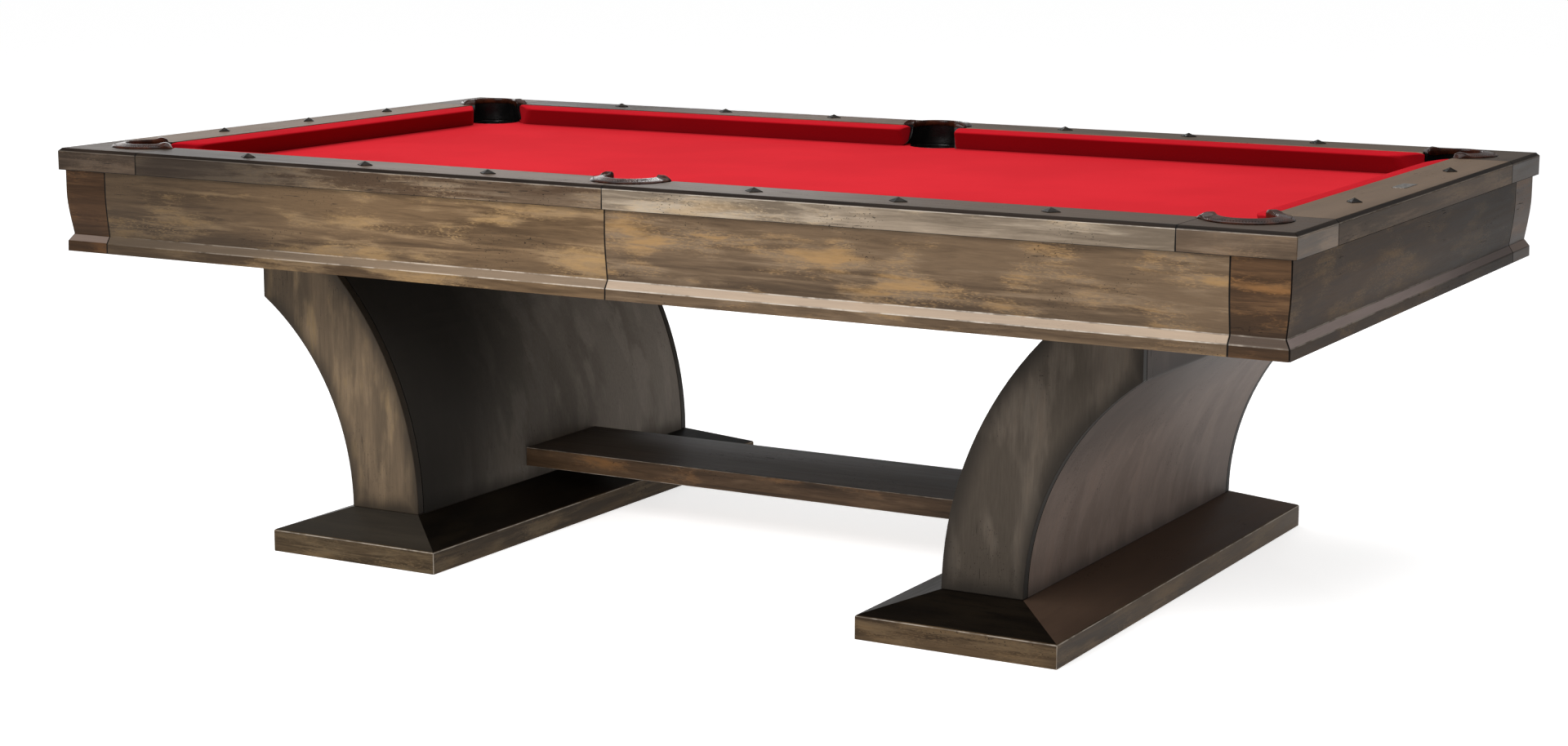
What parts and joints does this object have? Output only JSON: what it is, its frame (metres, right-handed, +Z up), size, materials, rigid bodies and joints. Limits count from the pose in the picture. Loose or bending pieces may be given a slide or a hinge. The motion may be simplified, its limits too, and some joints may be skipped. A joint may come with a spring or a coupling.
{
  "type": "pool table",
  "caption": "Slate-bed pool table with leather drop pockets, coved aprons and two curved trestle legs on hipped feet joined by a stretcher.",
  "frame": {"origin": "on the floor under the middle of the table", "axes": "+X along the table's length, -Y to the front long side, +Z up"},
  "size_m": [2.5528, 1.435, 0.798],
  "materials": {
    "rail_wood": "satin",
    "apron_wood": "satin",
    "leg_wood": "satin",
    "foot_wood": "satin",
    "frame_wood": "matte",
    "bed_cloth": "matte",
    "cushion_cloth": "matte",
    "pocket_leather": "gloss",
    "boot_leather": "satin",
    "slate": "matte",
    "leveller_steel": "satin"
  },
  "bodies": {
    "table": {"apron_corner_front_left": "apron_wood", "apron_corner_front_right": "apron_wood", "apron_corner_rear_left": "apron_wood", "apron_corner_rear_right": "apron_wood", "apron_front_left": "apron_wood", "apron_front_right": "apron_wood", "apron_left_end": "apron_wood", "apron_rear_left": "apron_wood", "apron_rear_right": "apron_wood", "apron_right_end": "apron_wood", "bed_cloth": "bed_cloth", "cabinet_frame": "frame_wood", "cushion_front_left": "cushion_cloth", "cushion_front_right": "cushion_cloth", "cushion_left_end": "cushion_cloth", "cushion_rear_left": "cushion_cloth", "cushion_rear_right": "cushion_cloth", "cushion_right_end": "cushion_cloth", "foot_left": "foot_wood", "foot_right": "foot_wood", "left_leg_front_cheek": "leg_wood", "left_leg_inner_panel": "leg_wood", "left_leg_outer_panel": "leg_wood", "left_leg_rear_cheek": "leg_wood", "leg_cradle_left": "frame_wood", "leg_cradle_right": "frame_wood", "pocket_boot_front_left": "boot_leather", "pocket_boot_front_middle": "boot_leather", "pocket_boot_front_right": "boot_leather", "pocket_boot_rear_left": "boot_leather", "pocket_boot_rear_middle": "boot_leather", "pocket_boot_rear_right": "boot_leather", "pocket_iron_front_left": "pocket_leather", "pocket_iron_front_middle": "pocket_leather", "pocket_iron_front_right": "pocket_leather", "pocket_iron_rear_left": "pocket_leather", "pocket_iron_rear_middle": "pocket_leather", "pocket_iron_rear_right": "pocket_leather", "rail_corner_front_left": "rail_wood", "rail_corner_front_right": "rail_wood", "rail_corner_rear_left": "rail_wood", "rail_corner_rear_right": "rail_wood", "rail_front_left": "rail_wood", "rail_front_right": "rail_wood", "rail_left_end": "rail_wood", "rail_rear_left": "rail_wood", "rail_rear_right": "rail_wood", "rail_right_end": "rail_wood", "right_leg_front_cheek": "leg_wood", "right_leg_inner_panel": "leg_wood", "right_leg_outer_panel": "leg_wood", "right_leg_rear_cheek": "leg_wood", "slate_left": "slate", "slate_middle": "slate", "slate_right": "slate", "stretcher": "foot_wood"},
    "leveller_left_front": {"leveller_left_front": "leveller_steel"},
    "leveller_left_rear": {"leveller_left_rear": "leveller_steel"},
    "leveller_right_front": {"leveller_right_front": "leveller_steel"},
    "leveller_right_rear": {"leveller_right_rear": "leveller_steel"}
  },
  "joints": [
    {"name": "leveller_left_front_screw", "type": "slide", "parent": "table", "child": "leveller_left_front", "axis": [0, 0, -1], "range_m": [0, 0.02]},
    {"name": "leveller_left_rear_screw", "type": "slide", "parent": "table", "child": "leveller_left_rear", "axis": [0, 0, -1], "range_m": [0, 0.02]},
    {"name": "leveller_right_front_screw", "type": "slide", "parent": "table", "child": "leveller_right_front", "axis": [0, 0, -1], "range_m": [0, 0.02]},
    {"name": "leveller_right_rear_screw", "type": "slide", "parent": "table", "child": "leveller_right_rear", "axis": [0, 0, -1], "range_m": [0, 0.02]}
  ]
}
